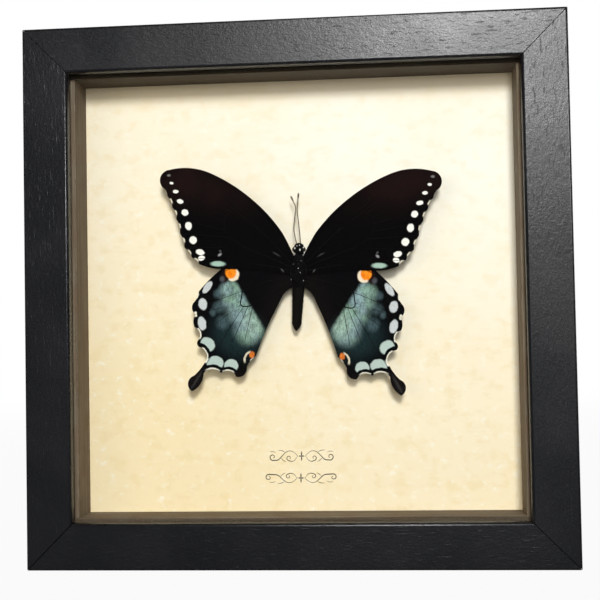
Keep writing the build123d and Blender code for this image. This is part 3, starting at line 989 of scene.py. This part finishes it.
# Veins of a right-hand wing: outwards from the body axis, then towards the head.
FOREWING_VEINS = (
    ((2.6, 5.2), (8.0, 11.4), (14.0, 16.4), (21.0, 20.6)),
    ((2.8, 3.9), (9.0, 6.6), (16.0, 9.2), (20.4, 11.6), (22.4, 13.4)),
    ((21.0, 20.6), (22.7, 19.2), (23.3, 17.0), (23.2, 15.0), (22.4, 13.4)),
    ((12.0, 15.0), (19.0, 21.6), (26.0, 28.6), (31.0, 33.0)),
    ((16.5, 18.3), (24.0, 24.2), (31.0, 30.4), (35.4, 33.8)),
    ((21.0, 20.6), (28.0, 25.4), (34.5, 30.0), (39.6, 33.2)),
    ((29.5, 26.4), (36.0, 28.8), (42.9, 30.6)),
    ((21.0, 20.6), (29.0, 23.6), (36.0, 26.0), (42.6, 27.9)),
    ((22.7, 19.2), (32.0, 22.4), (41.0, 25.1)),
    ((23.3, 17.2), (31.0, 19.4), (39.4, 21.7)),
    ((23.0, 14.8), (30.0, 16.3), (38.0, 18.0)),
    ((21.2, 12.4), (29.0, 13.3), (36.8, 13.6)),
    ((16.4, 9.4), (26.0, 9.6), (35.2, 9.3)),
    ((2.6, 2.8), (14.0, 4.7), (24.0, 5.6), (32.8, 6.1)),
)
HINDWING_VEINS = (
    ((2.6, 1.2), (10.0, 4.4), (18.0, 4.0), (23.6, 2.0), (26.6, -0.4)),
    ((2.8, 0.4), (8.0, -0.3), (13.0, -1.8), (17.3, -4.0)),
    ((2.8, -0.6), (7.0, -3.4), (11.0, -6.4), (14.0, -8.3)),
    ((17.3, -4.0), (17.6, -6.4), (17.9, -8.3), (16.4, -9.0), (14.0, -8.3)),
    ((17.3, -4.0), (21.0, -5.4), (25.0, -7.0), (28.0, -6.2), (31.0, -5.6)),
    ((17.9, -7.2), (24.0, -9.6), (31.4, -11.2)),
    ((17.9, -8.3), (23.5, -13.0), (29.9, -17.4)),
    ((16.9, -8.9), (21.4, -16.0), (25.0, -22.6), (28.0, -26.2), (31.8, -33.0)),
    ((15.5, -8.9), (19.4, -18.0), (22.4, -26.0), (23.2, -28.8)),
    ((14.0, -8.5), (16.0, -18.0), (17.2, -26.0), (18.0, -29.8)),
    ((2.6, -1.7), (6.8, -7.4), (10.2, -14.0), (12.4, -20.6)),
)
# Vein radii: at the wing's root, along the wing, at a tip, and round the hindwing's cell.
ROOT_VEIN, OPEN_VEIN, TIP_VEIN, CELL_VEIN = 0.14, 0.09, 0.05, 0.19
CELL_LINE = HINDWING_VEINS[3]
WING_STEP = 0.6


def wing_rise(x, z):
    """How far the membrane stands forward of its flat solid, in millimetres."""
    reach = min(1.0, max(0.0, (x - 3.0) / 12.0))
    arch = 0.34 * sin(pi * min(1.0, x / 44.0)) * reach
    ripple = noise.noise(Vector((x * 0.11, z * 0.11, 3.7))) * 0.32 * reach
    return arch + ripple


def nearest_vein(x, z, lines):
    """Distance from a point to the nearest vein, in millimetres."""
    here = Vector((x, z))
    best = 99.0
    for line in lines:
        for start, end in zip(line, line[1:]):
            origin, run = Vector(start), Vector(end) - Vector(start)
            share = max(0.0, min(1.0, (here - origin).dot(run) / run.length_squared))
            best = min(best, (here - origin - run * share).length)
    return best


def wing_frame(side, drop):
    """From the flat right-hand wing, in metres, to its place in the case."""
    specimen = Matrix.Translation(SPECIMEN_SPOT * MM) @ Matrix.Rotation(SPECIMEN_LEAN, 4, "Y")
    if side < 0:
        specimen = specimen @ Matrix.Scale(-1, 4, (1, 0, 0))
    lift = Matrix.Translation((0, (drop - WING_ROOT_HEIGHT) * MM, 0))
    return specimen @ lift @ Matrix.Rotation(-WING_LIFT, 4, "Z")


def slice_up(skin, axis, step):
    """Cuts the skin across an axis into even strips."""
    levels = [vert.co[axis] / MM for vert in skin.verts]
    low, high = min(levels), max(levels)
    normal = Vector((0, 0, 0))
    normal[axis] = 1.0
    count = int((high - low) / step)
    for index in range(1, count + 1):
        point = Vector((0, 0, 0))
        point[axis] = (low + (high - low) * index / (count + 1)) * MM
        whole = skin.verts[:] + skin.edges[:] + skin.faces[:]
        bmesh.ops.bisect_plane(skin, geom=whole, dist=1e-7, plane_co=point, plane_no=normal)


def vein_run(line):
    """A vein's points on the membrane, with its radius at each."""
    run = []
    for index, (x, z) in enumerate(line):
        thick = ROOT_VEIN if index == 0 and x < 4 else OPEN_VEIN
        if line is CELL_LINE:
            thick = CELL_VEIN
        elif index == len(line) - 1:
            thick = TIP_VEIN
        run.append((x, 0.03 - wing_rise(x, z), z, thick))
    return run


def wing(name, node, side, drop, veins, finishes):
    """The membrane with its raised veins, shaped as a right-hand wing and then placed."""
    place = wing_frame(side, drop)
    skin = move(copy_of(node), place.inverted())
    if side < 0:
        bmesh.ops.reverse_faces(skin, faces=skin.faces)
    for axis in (0, 2):
        slice_up(skin, axis, WING_STEP)
    for vert in skin.verts:
        x, z = vert.co.x / MM, vert.co.z / MM
        back = vert.co.y / MM > CAD_WING_THICKNESS / 2
        sag = 0.07 * min(1.0, nearest_vein(x, z, veins) / 1.4)
        y = (WING_THICKNESS if back else 0.0) + sag - wing_rise(x, z)
        vert.co.y = y * MM
    join_into(skin, strokes([vein_run(line) for line in veins], 1), 1)
    move(skin, place)
    if side < 0:
        bmesh.ops.reverse_faces(skin, faces=skin.faces)
    add_piece(name, skin, finishes, HOUSING, [node])


def to_specimen(skin):
    """Moves a part of the body from its own axis to its place over the card."""
    lean = Matrix.Rotation(SPECIMEN_LEAN, 4, "Y")
    height = Matrix.Translation((0, -BODY_HEIGHT * MM, 0))
    return move(skin, Matrix.Translation(SPECIMEN_SPOT * MM) @ lean @ height)


# Lengths of the body's parts along its axis, towards the head from the specimen's place.
THORAX, HEAD, ABDOMEN = (-2.6, 7.6), (7.55, 11.28), (-16.0, -2.55)
# Pale tufts of scales: across the body, along it, and radius.
TUFTS = (
    (0.45, 9.0, 0.26), (-1.15, 9.5, 0.2), (1.45, 9.8, 0.18), (1.75, 8.2, 0.2), (1.35, 7.4, 0.22),
    (-1.2, 7.8, 0.2), (0.3, 10.4, 0.14), (-0.5, 10.2, 0.12), (0.1, 3.2, 0.11), (0.7, 1.9, 0.1),
    (-1.4, 4.6, 0.08), (-2.1, -0.2, 0.13), (1.7, -0.5, 0.12), (0.9, 5.6, 0.07),
)
HEAD_REACH = 1.85


def thorax_radius(z):
    share = (z - THORAX[0]) / (THORAX[1] - THORAX[0])
    return 1.9 - 0.6 * share + 1.25 * sin(pi * max(0.0, min(1.0, share)))


def profile_of(radius_at, low, high, count):
    """Closed profile of a turned form from its radius along the axis."""
    steps = [low + (high - low) * index / count for index in range(count + 1)]
    return [(0.0, low)] + [(radius_at(z), z) for z in steps] + [(0.0, high)]


def abdomen_radius(z):
    share = (z + 16.04) / 13.44
    body = 1.85 * min(1.0, (share / 0.16)) ** 0.6 * (0.72 + 0.28 * share)
    return body * (1 + 0.045 * abs(sin(pi * share * 8)))


def swing_abdomen(skin):
    """The dried abdomen hangs a little to the left of the body's line."""
    hinge = Matrix.Translation((0, 0, THORAX[0] * MM))
    move(skin, hinge @ Matrix.Rotation(radians(1.6), 4, "Y") @ hinge.inverted())


def collar_radius(z):
    return max(1.1, min(thorax_radius(z), 1.9))


def head_radius(z):
    share = min(1.0, (z - 7.5) / 3.8)
    return 0.15 + 1.62 * max(0.0, 1 - (1.72 * share - 0.72) ** 2) ** 0.5


def bristles(seed, count, spread, length, sweep, radius_at, thick):
    """Short tapering hairs that stand on a turned form and lie back along it."""
    chance = Random(seed)
    skin = bmesh.new()
    low, high = spread
    for _ in range(count):
        z = chance.uniform(low, high)
        angle = chance.uniform(-1.9, 1.9)
        reach = radius_at(z) * 0.93
        root = Vector((reach * sin(angle), -reach * cos(angle), z))
        out = Vector((sin(angle), -cos(angle), 0))
        aim = out * chance.uniform(0.35, 0.9)
        aim += Vector((chance.uniform(-0.25, 0.25), 0, sweep + chance.uniform(-0.3, 0.3)))
        aim.normalize()
        hair_length = length * chance.uniform(0.6, 1.15)
        strand = bmesh.ops.create_cone(
            skin, cap_ends=True, segments=3, radius1=thick * MM, radius2=0.0,
            depth=hair_length * MM,
        )["verts"]
        turn = aim.to_track_quat("Z", "Y").to_matrix().to_4x4()
        middle = (root + aim * hair_length * 0.45) * MM
        move(skin, Matrix.Translation(middle) @ turn, strand)
    merge(skin, 1e-8)
    return skin


def dress_insect():
    dark_hair = cuticle_finish("dark_hair", paint(10, 9, 14), paint(30, 25, 27))
    painted_glint_hair = cuticle_finish("painted_glint_hair", paint(44, 44, 54), paint(92, 92, 104))
    # lighter grey hairs scattered in the dark fur are painted highlights: they stand in for glints
    # of light
    pale_scales = cuticle_finish("pale_scales", paint(206, 206, 204), paint(240, 239, 236))
    cuticle = cuticle_finish("dark_cuticle", paint(6, 5, 6), paint(12, 10, 11))
    olive = cuticle_finish("abdomen_scales", paint(7, 7, 6), paint(22, 20, 16))
    feeler = cuticle_finish("antenna_scales", paint(92, 84, 74), paint(138, 128, 112))

    for name, radius_at, span, count, finish in (
        ("thorax", thorax_radius, THORAX, 16, cuticle),
        ("head", head_radius, HEAD, 16, cuticle),
        ("abdomen", abdomen_radius, ABDOMEN, 48, olive),
    ):
        skin = spun(profile_of(radius_at, *span, count), 32)
        if name == "abdomen":
            swing_abdomen(skin)
        add_piece(name, to_specimen(skin), [finish], HOUSING, [f"butterfly_{name}"])

    for name, seed, count, spread, length, sweep, radius_at, thick, finish in (
        ("thorax_hair", 3, 1500, (-2.4, 7.4), 1.15, -0.55, thorax_radius, 0.045, dark_hair),
        ("collar_hair", 5, 420, (6.4, 10.8), 0.75, 0.35, collar_radius, 0.04, dark_hair),
        # painted highlights: grey hairs that stand in for glints of light on the dark thorax fur
        ("painted_glint_strands", 8, 260, (-2.2, 7.4), 0.8, -0.7, thorax_radius, 0.035, painted_glint_hair),
        ("abdomen_hair", 13, 520, (-15.2, -3.0), 0.5, -0.9, abdomen_radius, 0.03, dark_hair),
    ):
        skin = bristles(seed, count, spread, length, sweep, radius_at, thick)
        if name == "abdomen_hair":
            swing_abdomen(skin)
        add_piece(name, to_specimen(skin), [finish])

    eyes = bmesh.new()
    for side in (-1, 1):
        eye = bmesh.new()
        bmesh.ops.create_uvsphere(eye, u_segments=24, v_segments=16, radius=0.92 * MM)
        bmesh.ops.translate(eye, verts=eye.verts, vec=Vector((side * 1.22, -0.3, 9.2)) * MM)
        join_into(eyes, eye)
    add_piece("eyes", to_specimen(eyes), [eye_finish("eye_lens")])

    tufts = bmesh.new()
    for across, along, size in TUFTS:
        ball = bmesh.new()
        bmesh.ops.create_icosphere(ball, subdivisions=2, radius=size * MM)
        bmesh.ops.scale(ball, vec=(1.0, 0.6, 1.5), verts=ball.verts)
        reach = thorax_radius(along) if along < HEAD[0] else HEAD_REACH
        height = max(0.2, reach**2 - across**2) ** 0.5
        bmesh.ops.translate(ball, verts=ball.verts, vec=Vector((across, -height, along)) * MM)
        join_into(tufts, ball)
    add_piece("pale_tufts", to_specimen(tufts), [pale_scales])

    give_finish("antenna_left", feeler)
    give_finish("antenna_right", feeler)

    fore = [forewing_finish("forewing_scales"), vein_finish("forewing_veins")]
    hind = [hindwing_finish("hindwing_scales"), vein_finish("hindwing_veins")]
    for side, word in ((1, "right"), (-1, "left")):
        for part, drop, veins, finishes in (
            ("forewing", 0.0, FOREWING_VEINS, fore),
            ("hindwing", HINDWING_DROP, HINDWING_VEINS, hind),
        ):
            wing(f"{part}_membrane_{word}", f"{part}_{word}", side, drop, veins, finishes)


# ---------- light and view


# The photograph's view: the camera's place in metres, its right and up, and its lens.
CAMERA_SPOT = (0.031538, -0.355599, 0.067597)
CAMERA_RIGHT = Vector((0.99595968, 0.08794103, -0.0181847))
CAMERA_UP = Vector((0.02131518, -0.03479032, 0.9991673))
SENSOR_WIDTH, LENS = 36.0, 68.75


def add_camera():
    data = bpy.data.cameras.new("camera")
    data.sensor_width = SENSOR_WIDTH
    data.lens = LENS
    data.clip_start = 0.01
    camera = in_scene("camera", data)
    back = CAMERA_RIGHT.cross(CAMERA_UP)
    turn = Matrix((CAMERA_RIGHT, CAMERA_UP, back)).transposed().to_4x4()
    camera.matrix_world = Matrix.Translation(CAMERA_SPOT) @ turn
    bpy.context.scene.camera = camera


# Lamps: place in metres, width and height, watts, tint, and whether paint and metal mirror it.
WHITE, WARM = (1.0, 1.0, 1.0), (1.0, 0.88, 0.7)
LAMP_AIM = (0.0, 0.0, 0.09)
LAMPS = {
    "glare": ((0.163, -1.24, 0.56), (0.24, 0.2), 10.0, WHITE, True),
    "key": ((0.17, -1.24, 0.36), (0.3, 0.8), 7.6, WHITE, False),
    "fill": ((-0.8, -1.2, 0.2), (0.9, 0.9), 5.2, WARM, False),
    "rear_window": ((-0.75, 1.2, 0.8), (1.8, 1.8), 22.0, WHITE, True),
    "rear_fill": ((1.1, 0.9, 0.4), (0.8, 0.8), 8.0, WHITE, True),
}


def add_lamp(name, spot, size, power, tint, mirrored):
    data = bpy.data.lights.new(name, "AREA")
    data.color = tint
    data.shape = "RECTANGLE"
    data.size, data.size_y = size
    data.energy = power
    lamp = in_scene(name, data)
    lamp.visible_glossy = mirrored
    towards = (Vector(LAMP_AIM) - Vector(spot)).to_track_quat("-Z", "Y")
    lamp.matrix_world = Matrix.Translation(spot) @ towards.to_matrix().to_4x4()


ROOM_LIGHT = 0.04
MIRRORED_SHARE = 0.08  # how white the backdrop is in glass, paint and metal
FLOOR_GREY = 0.13  # what the floor gives back to the case
SHADOWED_SHARE = 0.95  # how much of the floor's own white is left near the case


def light_path(finish, output):
    return finish.node("LightPath", {}, {}, output)


def seen_directly(finish):
    return light_path(finish, "Is Camera Ray") + light_path(finish, "Is Transmission Ray")


def add_stage():
    """Pale floor that the case stands on, and a white world behind it."""
    floor = bmesh.new()
    bmesh.ops.create_grid(floor, x_segments=1, y_segments=1, size=3.0)
    mesh = mesh_of("floor", floor)
    finish = Finish("pale_floor")
    matt = finish.node("BsdfDiffuse", {}, {"Color": (*[FLOOR_GREY] * 3, 1.0)})
    white = finish.node("Emission", {}, {"Color": (*WHITE, 1.0), "Strength": 1.0})
    from_case = finish.node("TexCoord", {}, {}, "Object")
    reach = finish.node("VectorMath", {"operation": "LENGTH"}, {0: from_case}, 1)
    mirrored = light_path(finish, "Is Glossy Ray")
    share = seen_directly(finish) * reach.ramp(0.25, 1.3, SHADOWED_SHARE, 1.0)
    share = share + mirrored * MIRRORED_SHARE
    both = finish.node("MixShader", {}, {0: share, 1: matt, 2: white})
    mesh.materials.append(finish.end(both))
    plane = in_scene("floor", mesh)

    world = bpy.data.worlds.new("studio")
    room = Finish("studio", world)
    mirrored = light_path(room, "Is Glossy Ray") * (MIRRORED_SHARE - ROOM_LIGHT)
    strength = seen_directly(room) * (1 - ROOM_LIGHT) + mirrored + ROOM_LIGHT
    sky = room.node("Background", {}, {"Color": (*WHITE, 1.0), "Strength": strength})
    bpy.context.scene.world = room.end(sky, "OutputWorld")


def set_light():
    bpy.context.scene.view_settings.view_transform = "Standard"
    for name, lamp in LAMPS.items():
        add_lamp(name, *lamp)


add_camera()
add_stage()
set_light()
dress_case()
dress_hardware()
dress_ornament(printing_ink("printing_ink"))
dress_insect()
